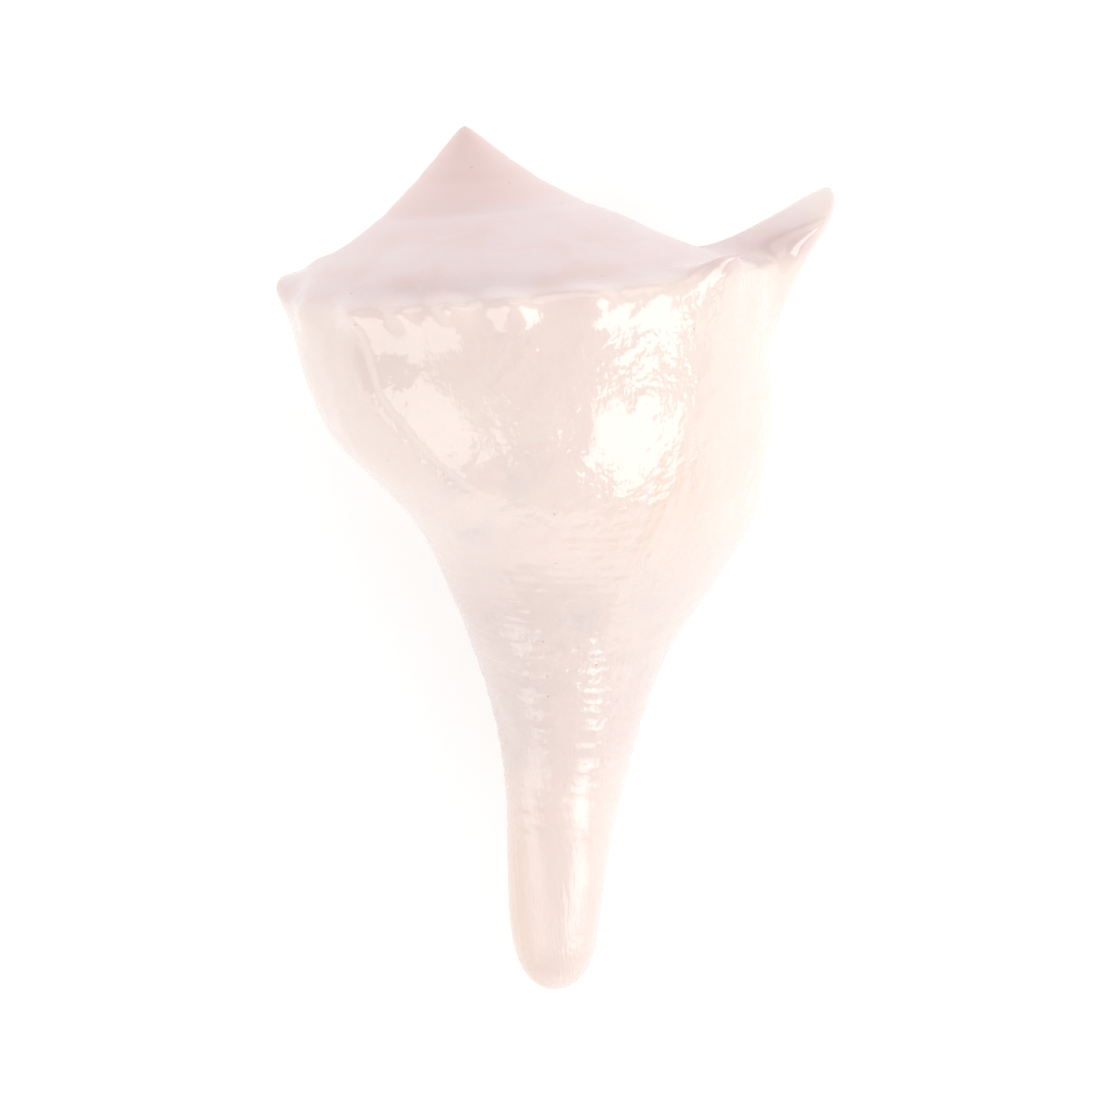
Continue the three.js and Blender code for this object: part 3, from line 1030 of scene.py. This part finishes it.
@dataclass(frozen=True)
class Nacre:
    """Polished, pearly shell surface.

    Grains are the scale, detail and roughness of a noise; bumps are heights in metres.
    """

    name: str = "nacre"
    body: Colour = (0.89, 0.745, 0.685)
    rose: Colour = (0.86, 0.70, 0.655)
    cream: Colour = (0.875, 0.765, 0.68)
    peach: Colour = (0.87, 0.64, 0.50)
    # Ramp colour: a lilac-pink tint, also darker than the body as painted shade on the up-facing ramp.
    ramp: Colour = (0.765, 0.60, 0.58)
    crown: Colour = (0.80, 0.585, 0.56)
    grey: Colour = (0.64, 0.58, 0.595)
    lilac: Colour = (0.80, 0.67, 0.68)
    # Grey-pink neck colour, darker than the body as painted shade.
    neck_tint_and_shade: Colour = (0.78, 0.655, 0.62)
    speck: Colour = (0.52, 0.34, 0.27)
    throat: Colour = (0.95, 0.66, 0.50)
    roughness: float = 0.055
    satin_roughness: float = 0.28
    blotch: Grain = (42.0, 3.0, 0.55)
    cloud: Grain = (75.0, 4.0, 0.6)
    band: Grain = (1.0, 3.0, 0.55)
    streak: Grain = (1.0, 3.0, 0.6)
    dapple: Grain = (60.0, 2.0, 0.5)
    hammer: Grain = (340.0, 2.0, 0.5)
    stain: Patch = Patch(-76.0, 13.0, 68.0, 11.0)
    smudges: tuple[Patch, ...] = (
        Patch(-91.0, 7.0, 89.5, 4.5),
        Patch(-120.0, 9.0, 60.0, 5.0, 0.6),
        Patch(-134.0, 8.0, 68.0, 6.0, 0.8),
    )
    speck_scale: float = 330.0
    speck_edge: Span = (0.05, 0.1)
    speck_share: Span = (0.9, 0.92)
    thread_bump: float = 0.000012
    line_bump: float = 0.00003
    wrinkle_bump: float = 0.00022
    hammer_bump: float = 0.00048

    def colour(self, sh: Shader, where: Signal) -> Signal:
        """Colours of the outside and of the hollow.

        Args:
            sh: The shader they are built in.
            where: Position on the shell, in metres.

        Returns:
            The colour.
        """
        age, drop, radius = sh.attribute("age"), sh.attribute("drop"), sh.attribute("axis_radius")
        ramp, hollow = sh.attribute("ramp"), sh.attribute("hollow")
        blotch = sh.noise(where, *self.blotch)
        cloud = sh.noise(where, *self.cloud)
        streak = sh.noise(sh.vector(age * 0.33, drop * 0.02, 0.0), *self.streak)
        band = sh.noise(sh.vector(age * 0.008, drop * 0.8, 0.0), *self.band)
        lip_side = (age + 40.0).bell(44.0) * (1.0 - drop.step(84.0, 104.0))
        colour = sh.mix(blotch.step(0.38, 0.66) * 0.8, self.body, self.rose)
        colour = sh.mix(lip_side * 0.55 + cloud.step(0.52, 0.72) * 0.3, colour, self.cream)
        colour = sh.mix(band.step(0.5, 0.72) * 0.22, colour, self.rose)
        stained = self.stain.mask(age, drop) * streak.step(0.42, 0.62)
        colour = sh.mix(stained * 0.6, colour, self.peach)
        # Painted shade with a grey-pink tint: the neck is darkened, mottled by the cloud noise.
        neck = drop.step(70.0, 92.0) * (1.0 - drop.step(110.0, 126.0))
        colour = sh.mix(neck * (0.4 + cloud.step(0.4, 0.64) * 0.4), colour, self.neck_tint_and_shade)
        slot_side = (age + 190.0).bell(34.0) * drop.step(118.0, 134.0)
        colour = sh.mix(slot_side * 0.45, colour, self.peach)
        smudge = sum(patch.mask(age, drop) for patch in self.smudges)
        colour = sh.mix(smudge * cloud.step(0.36, 0.6) * 0.8, colour, self.grey)
        ring = sh.noise(sh.vector(radius * 0.55, age * 0.012, 0.0), *self.streak)
        top = sh.mix(cloud.step(0.4, 0.62) * 0.8, self.ramp, self.lilac)
        top = sh.mix(ring.step(0.48, 0.68) * 0.45, top, self.crown)
        top = sh.mix((1.0 - radius.step(12.0, 25.0)) * 0.9, top, self.crown)
        pale = (radius - 18.8).bell(1.9) * blotch.step(0.32, 0.5)
        top = sh.mix(pale * 0.6, top, self.lilac)
        # The ramp's lilac-pink tones go over the ramp here; their darkness is partly painted shade.
        colour = sh.mix(ramp * 0.9, colour, top)
        inside = sh.mix((age / -90.0).step(0.0, 1.0), self.cream, self.throat)
        colour = sh.mix(hollow, colour, inside)
        return sh.mix(self.specks(sh, where) * (1.0 - hollow) * 0.55, colour, self.speck)

    def specks(self, sh: Shader, where: Signal) -> Signal:
        """Pinholes and specks scattered over the outside.

        Args:
            sh: The shader they are built in.
            where: Position on the shell, in metres.

        Returns:
            1 in a speck, 0 elsewhere.
        """
        cells = {"Vector": where, "Scale": self.speck_scale, "Randomness": 1.0}
        near = sh.node("ShaderNodeTexVoronoi", {"feature": "F1"}, cells, output="Distance")
        chosen = sh.node("ShaderNodeTexVoronoi", {"feature": "F1"}, cells, output="Color")
        pick = sh.node("ShaderNodeSeparateColor", None, {0: chosen}, output="Red")
        return (1.0 - near.step(*self.speck_edge)) * pick.step(*self.speck_share)

    def relief(self, sh: Shader, where: Signal) -> Signal:
        """Height of the finest relief, in metres.

        Args:
            sh: The shader it is built in.
            where: Position on the shell, in metres.

        Returns:
            The height.
        """
        age, drop, radius = sh.attribute("age"), sh.attribute("drop"), sh.attribute("axis_radius")
        threads = (drop - age * (Relief.thread_descent / 360.0)) * (2 * math.pi / Relief.thread_pitch)
        thread = threads.sin() * drop.step(64.0, 84.0) * (1.0 - drop.step(122.0, 138.0))
        grown = sh.noise(sh.vector(age * 1.4, drop * 0.05, radius * 0.1), *self.streak)
        wrinkle = sh.noise(sh.vector(age * 0.22, drop * 0.22, 0.0), *self.streak)
        wrinkle = wrinkle * drop.step(128.0, 142.0)
        patchy = sh.noise(where, *self.dapple).step(0.4, 0.65)
        hammer = sh.noise(where, *self.hammer)
        on_back = (age + 100.0).bell(66.0) * (1.0 - drop.step(100.0, 125.0) * 0.5)
        outside = (1.0 - sh.attribute("ramp") * 0.92) * (1.0 - sh.attribute("hollow"))
        coarse = thread * self.thread_bump + grown * self.line_bump + wrinkle * self.wrinkle_bump
        dented = hammer * (0.35 + patchy) * (0.1 + on_back) * self.hammer_bump
        return (coarse + dented) * outside

    def material(self) -> bpy.types.Material:
        """Builds the material.

        Args:
            None.

        Returns:
            The finished material.
        """
        sh = Shader(self.name)
        where = sh.node("ShaderNodeTexCoord", output="Object")
        bump = {"Strength": 1.0, "Distance": 1.0, "Height": self.relief(sh, where)}
        return sh.surface(
            {
                "Base Color": self.colour(sh, where),
                "Roughness": sh.attribute("satin") * self.satin_roughness + self.roughness,
                "IOR": 1.72,
                "Coat Weight": 0.5,
                "Coat Roughness": 0.4,
                "Coat IOR": 1.5,
                "Subsurface Weight": 0.12,
                "Subsurface Radius": (1.0, 0.6, 0.45),
                "Subsurface Scale": 0.004,
                "Normal": sh.node("ShaderNodeBump", None, bump),
            }
        )


@dataclass
class WhelkShell:
    """The shell: outside, hollow and finish.

    Spans of distance from the shoulder's edge say where the ramp, its satin and the painted light on
    the spine fade.
    """

    law: GrowthLaw = field(default_factory=GrowthLaw)
    pose: RestPose = field(default_factory=RestPose)
    columns: int = 300
    spire_rows: int = 26
    ramp_rows: int = 34
    upper_rows: int = 44
    lower_rows: int = 104
    canal_rows: int = 14
    end_rows: int = 10
    upper_end: float = 66.0
    lower_end: float = 132.0
    ramp_crowding: float = 1.35
    upper_crowding: float = 1.2
    sideways_span: Span = (-1.5, 2.0)
    lip_rounding: float = 0.45
    lip_rounding_angle: float = 1.6
    lip_rounding_radii: Span = (20, 27)
    body_merge: float = 2e-6
    tool_merge: float = 1e-7
    ramp_edge: Span = (-1.0, 2.5)
    satin_fade: Span = (1.0, 9.0)
    spine_painted_light: float = 0.7
    spine_fade: Span = (0.5, 5.0)
    sharp_angle: float = 38.0
    finish: Nacre = field(default_factory=Nacre)

    def outline_grid(self) -> Skin:
        """The plain outside, apex to canal tip.

        Args:
            None.

        Returns:
            The grid, shaped (columns, rows).
        """
        law = self.law
        angle = np.linspace(-360, 0, self.columns + 1)[:, None]
        crest, ones = law.shoulder(angle), np.ones_like(angle)
        spire = law.suture_radius * np.arange(self.spire_rows + 1)[None] / self.spire_rows * ones
        share = 1 - (1 - np.arange(1, self.ramp_rows + 1)[None] / self.ramp_rows) ** self.ramp_crowding
        ramp = law.suture_radius + (crest - law.suture_radius) * share
        top_radius = np.concatenate([spire, ramp], axis=1)
        top_drop = law.ramp_drop(angle, top_radius)
        start = top_drop[:, -1:]
        canal_end = law.length - law.canal_end
        share = (np.arange(1, self.upper_rows + 1) / self.upper_rows)[None] ** self.upper_crowding
        upper = start + (self.upper_end - start) * share
        lower = np.linspace(self.upper_end, self.lower_end, self.lower_rows + 1)[None, 1:] * ones
        canal = np.linspace(self.lower_end, canal_end, self.canal_rows + 1)[None, 1:] * ones
        turn = np.pi / 2 * np.arange(1, self.end_rows + 1) / self.end_rows
        tip = (law.length - law.canal_end * (1 - np.sin(turn)))[None] * ones
        side_drop = np.concatenate([upper, lower, canal, tip], axis=1)
        side_radius = law.side_radius(angle, side_drop) + law.shoulder_flare(angle, side_drop)
        side_radius[:, -1] = 0.0
        radius = np.concatenate([top_radius, side_radius], axis=1)
        drop = np.concatenate([top_drop, side_drop], axis=1)
        return Skin(angle * np.ones_like(drop), radius, drop)

    def outside_points(self) -> Array:
        """Positions of the finished outside in the shell's own frame.

        Args:
            None.

        Returns:
            Positions shaped (columns, rows, 3).
        """
        skin = self.outline_grid()
        angle, radius, drop = skin.angle, skin.radius, skin.drop
        out, up = Ornament(self.law).push(skin)
        rise = Relief(self.law).height(skin)
        crest_drop = self.law.ramp_drop(angle, self.law.shoulder(angle))
        sideways = smooth(drop - crest_drop, *self.sideways_span)
        bend = 1 - np.sqrt(1 - smooth(angle, -self.lip_rounding_angle, 0.0) ** 2)
        rounding = self.lip_rounding * bend * smooth(radius, *self.lip_rounding_radii)
        radius = radius + out + (rise - rounding) * sideways
        drop = drop - up - (rise - rounding) * (1 - sideways)
        radius[:, 0] = 0.0
        radius[:, -1] = 0.0
        return self.law.place(angle, radius, drop)

    def build(self) -> bpy.types.Object:
        """Makes the hollow shell.

        Args:
            None.

        Returns:
            The shell, lying on the table.
        """
        outside = self.outside_points()
        count, size = outside.shape[:2]
        points = self.pose.place(outside.reshape(-1, 3))
        body = mesh_object("shell_body", points, wall_faces(count, size, True), self.body_merge)
        rings = Cavity(self.law).rings()
        count, size = rings.shape[:2]
        faces = wall_faces(count, size, False)
        last = (count - 1) * size
        faces += [tuple(range(size))[::-1], tuple(range(last, last + size))]
        points = self.pose.place(rings.reshape(-1, 3))
        tool = mesh_object("hollow_tool", points, faces, self.tool_merge)
        for side in Face:
            for made in (body, tool):
                made.data.materials.append(self.side_material(side))
        hollow = [Face.HOLLOW.value] * len(tool.data.polygons)
        tool.data.polygons.foreach_set("material_index", hollow)
        for made in (body, tool):
            self.face_out(made)
        cut = body.modifiers.new("hollow", "BOOLEAN")
        cut.operation, cut.solver, cut.object = "DIFFERENCE", "MANIFOLD", tool
        graph = bpy.context.evaluated_depsgraph_get()
        mesh = bpy.data.meshes.new_from_object(body.evaluated_get(graph))
        for made in (body, tool):
            bpy.data.objects.remove(made)
        shell = add_object("whelk_shell", mesh)
        self.wear_flat(shell)
        return shell

    @staticmethod
    def side_material(side: Face) -> bpy.types.Material:
        """A plain material that marks which side of the wall a face is on."""
        return bpy.data.materials.get(side.name) or bpy.data.materials.new(side.name)

    @staticmethod
    def face_out(made: bpy.types.Object) -> None:
        """Turns a closed mesh's faces outwards.

        Args:
            made: The object to turn.

        Returns:
            None.
        """
        with editing(made.data) as edit:
            bmesh.ops.triangulate(edit, faces=edit.faces)
            bmesh.ops.recalc_face_normals(edit, faces=edit.faces)
            if edit.calc_volume(signed=True) < 0:
                bmesh.ops.reverse_faces(edit, faces=edit.faces)

    @staticmethod
    def wear_flat(made: bpy.types.Object) -> None:
        """Moves what is below the table top up to it, so that the contacts are worn flat."""
        for vertex in made.data.vertices:
            vertex.co.z = max(vertex.co.z, 0.0)

    @staticmethod
    def read(items: bpy.types.bpy_prop_collection, key: str, kind: type, width: int = 1) -> Array:
        """Reads one property of every item at once.

        Args:
            items: Vertices, corners or faces of a mesh.
            key: Name of the property.
            kind: Type of its numbers.
            width: Numbers per item.

        Returns:
            The values in one row.
        """
        values = np.empty(len(items) * width, kind)
        items.foreach_get(key, values)
        return values

    def store_growth(self, shell: bpy.types.Object) -> None:
        """Stores where on the coil each part of the surface is, for the finish to read.

        Args:
            shell: The cut shell.

        Returns:
            None.
        """
        law, mesh = self.law, shell.data
        own = self.pose.unplace(self.read(mesh.vertices, "co", float, 3).reshape(-1, 3))
        drop, radius = -own[:, 1], np.hypot(own[:, 0], own[:, 2])
        bearing = np.degrees(np.arctan2(own[:, 0], own[:, 2]))
        angle = bearing - law.lip_bearing - law.lip_lead(drop)
        angle = (angle + 360.0) % 360.0 - 360.0
        sides = self.read(mesh.polygons, "material_index", int)
        corner_vertex = self.read(mesh.loops, "vertex_index", int)
        totals = self.read(mesh.polygons, "loop_total", int)
        corner_face = np.repeat(np.arange(len(totals)), totals)
        corner_hollow = sides[corner_face].astype(float)
        corner_angle = angle[corner_vertex]
        first = np.concatenate([[0], np.cumsum(totals)[:-1]])
        reference = corner_angle[first][corner_face]
        corner_angle = reference + (corner_angle - reference + 180.0) % 360.0 - 180.0
        crest = law.ramp_drop(angle, law.shoulder(angle))
        ramp = 1 - smooth(drop - crest, *self.ramp_edge)
        satin = ramp * smooth(law.shoulder(angle) - radius, *self.satin_fade)
        # Painted light: the spine's lit face is drawn in the lighter body colour, not the darker ramp
        # colour.
        ramp *= 1 - self.spine_painted_light * smooth(radius - law.shoulder(0), *self.spine_fade)
        for name, domain, values in (
            ("age", "CORNER", corner_angle),
            ("hollow", "CORNER", corner_hollow),
            ("drop", "POINT", drop),
            ("axis_radius", "POINT", radius),
            ("ramp", "POINT", ramp),
            ("satin", "POINT", satin),
        ):
            store = mesh.attributes.new(name, "FLOAT", domain)
            store.data.foreach_set("value", values.astype(np.float32))

    def dress(self, shell: bpy.types.Object) -> None:
        """Gives the shell its finish.

        Args:
            shell: The cut shell.

        Returns:
            None.
        """
        self.store_growth(shell)
        mesh = shell.data
        mesh.materials.clear()
        mesh.materials.append(self.finish.material())
        mesh.polygons.foreach_set("material_index", [0] * len(mesh.polygons))
        mesh.shade_smooth()
        mesh.set_sharp_from_angle(angle=math.radians(self.sharp_angle))


@dataclass(frozen=True)
class SoftBox:
    """A rectangular light with a white diffuser."""

    name: str
    bearing: float
    height: float
    distance: float
    width: float
    length: float
    power: float

    def build(self, aim: Vector) -> bpy.types.Object:
        """Hangs the light.

        Args:
            aim: Point it faces.

        Returns:
            The light.
        """
        data = bpy.data.lights.new(self.name, "AREA")
        data.shape, data.size, data.size_y = "RECTANGLE", self.width, self.length
        data.energy = self.power
        light = add_object(self.name, data)
        azimuth, height = math.radians(self.bearing), math.radians(self.height)
        flat = math.cos(height)
        away = Vector((math.cos(azimuth) * flat, math.sin(azimuth) * flat, math.sin(height)))
        light.location = aim + away * self.distance
        light.rotation_euler = away.to_track_quat("Z", "Y").to_euler()
        light.visible_camera = False
        return light


@dataclass
class Studio:
    """White table, white surroundings and the lights."""

    table_size: float = 6.0
    table_gap: float = 0.0002
    table_colour: Colour = (0.5, 0.5, 0.5)
    white: Colour = (1.0, 1.0, 1.0)
    aim_height: float = 0.04
    glow: float = 0.585
    sky: float = 0.605
    lights: tuple[SoftBox, ...] = (
        SoftBox("right_softbox", -34.0, 29.0, 0.75, 0.62, 0.45, 2.3),
        SoftBox("left_window", 209.0, 25.0, 0.75, 0.62, 0.52, 1.5),
        SoftBox("top_card", 75.0, 45.0, 0.9, 1.3, 0.9, 3.2),
    )

    def build(self) -> None:
        """Sets the table, the surroundings and the lights.

        Args:
            None.

        Returns:
            None.
        """
        half = self.table_size / 2
        corners = [(-half, -half, 0), (half, -half, 0), (half, half, 0), (-half, half, 0)]
        mesh = bpy.data.meshes.new("table")
        mesh.from_pydata(corners, [], [(0, 1, 2, 3)])
        table = add_object("table", mesh)
        table.location.z = -self.table_gap
        paper = Shader("table_paper").surface(
            {
                "Base Color": self.table_colour,
                "Roughness": 0.9,
                "Emission Color": self.white,
                "Emission Strength": self.glow,
            }
        )
        mesh.materials.append(paper)
        world = bpy.data.worlds.new("surroundings")
        world.use_nodes = True
        background = world.node_tree.nodes["Background"].inputs
        background["Color"].default_value = (*self.white, 1.0)
        background["Strength"].default_value = self.sky
        bpy.context.scene.world = world
        for light in self.lights:
            light.build(Vector((0.0, 0.0, self.aim_height)))


@dataclass(frozen=True)
class OverheadCamera:
    """The camera over the table, looking down on the shell's back."""

    pose: RestPose
    pitch: float = 8.0
    roll: float = 6.1
    distance: float = 0.5915
    focal: float = 106.0
    sensor: float = 36.0
    look: Span = (0.00695, 0.00275)
    middle: float = 80.0
    clip: Span = (0.01, 20.0)

    def build(self) -> bpy.types.Object:
        """Sets the camera up.

        Args:
            None.

        Returns:
            The camera.
        """
        pitch, roll = math.radians(self.pitch), math.radians(self.roll)
        view = Matrix.Rotation(roll, 3, "Z") @ Matrix.Rotation(pitch, 3, "X")
        turn = self.pose.turn() @ view.transposed()
        middle = Vector((0.0, -self.middle, 0.0))
        centre = (self.pose.turn() @ middle + Vector(self.pose.shift)) * MM
        data = bpy.data.cameras.new("overhead_camera")
        data.lens, data.sensor_width = self.focal, self.sensor
        data.clip_start, data.clip_end = self.clip
        camera = add_object("overhead_camera", data)
        place = centre + turn @ Vector((*self.look, self.distance))
        camera.matrix_world = Matrix.Translation(place) @ turn.to_4x4()
        bpy.context.scene.camera = camera
        return camera


def main() -> None:
    """Builds the shell, the studio and the camera.

    Args:
        None.

    Returns:
        None.
    """
    logging.basicConfig(level=logging.INFO, format="%(name)s: %(message)s")
    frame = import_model()
    LOG.info("frame nodes: %s", ", ".join(frame["nodes"]))
    whelk = WhelkShell()
    shell = whelk.build()
    whelk.dress(shell)
    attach(shell, Body.ROOT.value)
    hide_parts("shell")
    LOG.info("shell: %d vertices, %d faces", len(shell.data.vertices), len(shell.data.polygons))
    Studio().build()
    OverheadCamera(whelk.pose).build()
    bpy.context.scene.view_settings.view_transform = "Standard"


if __name__ == "__main__":
    main()
